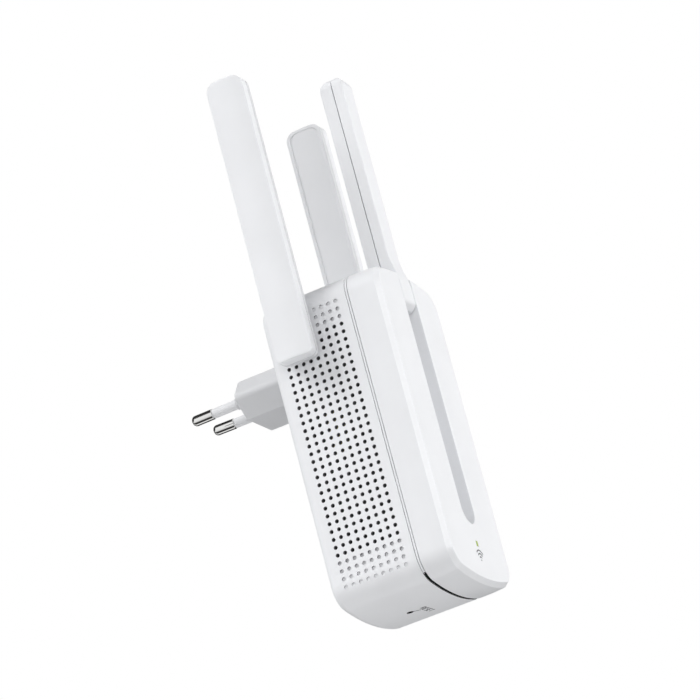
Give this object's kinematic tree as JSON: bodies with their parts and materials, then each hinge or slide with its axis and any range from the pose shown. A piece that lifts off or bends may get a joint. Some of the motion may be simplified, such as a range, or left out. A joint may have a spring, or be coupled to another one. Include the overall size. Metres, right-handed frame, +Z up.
{
  "type": "plug-in wifi range extender",
  "caption": "Wall-plug wifi range extender: tall rounded white casing with perforated sides, a stowage groove in the front, folding paddle antennas and a flat two-pin plug at the back.",
  "frame": {"origin": "centre of the plug's flat face, midway between its two pins", "axes": "+Z up along the casing's length, +Y out of the plug towards the socket, -Y out of the front face, X across the casing; the casing is symmetric about the X = 0 plane"},
  "size_m": [0.0768, 0.0915, 0.205],
  "materials": {
    "casing_white": "satin moulded ABS, fine spark texture",
    "cover_white": "satin moulded ABS with a polished bevel",
    "antenna_white": "satin moulded ABS",
    "antenna_inner_white": "satin moulded ABS, recessed panel",
    "plug_white": "satin moulded plastic",
    "sleeve_grey": "semi-gloss insulating sleeve",
    "pin_nickel": "polished nickel plating",
    "hub_white": "satin acetal",
    "spring_steel": "bright steel",
    "screw_steel": "zinc plated",
    "radiator_copper": "copper foil on a thin strip",
    "coax_jacket": "smooth extruded jacket",
    "board_green": "solder mask",
    "ferrite": "sintered ferrite",
    "bobbin_tape": "polyester tape",
    "capacitor_sleeve": "shrink sleeve",
    "film_capacitor": "moulded case",
    "fuse_body": "moulded case",
    "chip_black": "epoxy package",
    "shield_tin": "tinned sheet",
    "led_lens": "clear epoxy",
    "light_pipe_green": "translucent, lit green-yellow",
    "button_grey": "satin acetal"
  },
  "bodies": {
    "casing": {"rear_casing": "casing_white", "front_cover": "cover_white", "plug_housing": "plug_white", "front_hinge_pin": "spring_steel", "front_coax": "coax_jacket", "main_board": "board_green", "power_board": "board_green", "transformer_core": "ferrite", "transformer_bobbin": "bobbin_tape", "bulk_capacitor": "capacitor_sleeve", "output_capacitor": "capacitor_sleeve", "mains_fuse": "fuse_body", "bridge_rectifier": "chip_black", "suppression_capacitor": "film_capacitor", "board_header": "chip_black", "radio_shield": "shield_tin", "processor_chip": "chip_black", "memory_chip": "chip_black", "status_led": "led_lens", "light_pipe": "light_pipe_green", "tact_switch": "chip_black", "plug_pin_left": "pin_nickel", "pin_sleeve_left": "sleeve_grey", "left_coax": "coax_jacket", "plug_pin_right": "pin_nickel", "pin_sleeve_right": "sleeve_grey", "right_coax": "coax_jacket", "board_screw_1": "screw_steel", "board_screw_2": "screw_steel", "board_screw_3": "screw_steel", "board_screw_4": "screw_steel"},
    "left_antenna": {"left_outer_shell": "antenna_white", "left_inner_shell": "antenna_inner_white", "left_hub": "hub_white", "left_clip": "spring_steel", "left_radiator": "radiator_copper"},
    "right_antenna": {"right_outer_shell": "antenna_white", "right_inner_shell": "antenna_inner_white", "right_hub": "hub_white", "right_clip": "spring_steel", "right_radiator": "radiator_copper"},
    "front_antenna": {"front_outer_shell": "antenna_inner_white", "front_inner_shell": "antenna_white", "front_radiator": "radiator_copper"},
    "reset_key": {"reset_button": "button_grey"}
  },
  "joints": [
    {"name": "left_antenna_fold", "type": "hinge", "parent": "casing", "child": "left_antenna", "pos_m": [-0.033, -0.03495, 0.0092], "axis": [1, 0, 0], "range_deg": [0, 180]},
    {"name": "right_antenna_fold", "type": "hinge", "parent": "casing", "child": "right_antenna", "pos_m": [0.033, -0.03495, 0.0092], "axis": [1, 0, 0], "range_deg": [0, 180]},
    {"name": "front_antenna_fold", "type": "hinge", "parent": "casing", "child": "front_antenna", "pos_m": [0, -0.06445, 0.0185], "axis": [1, 0, 0], "range_deg": [0, 180]},
    {"name": "reset_press", "type": "slide", "parent": "casing", "child": "reset_key", "axis": [0, 0, 1], "range_m": [0, 0.0003], "stiffness_N_per_m": 1500}
  ]
}
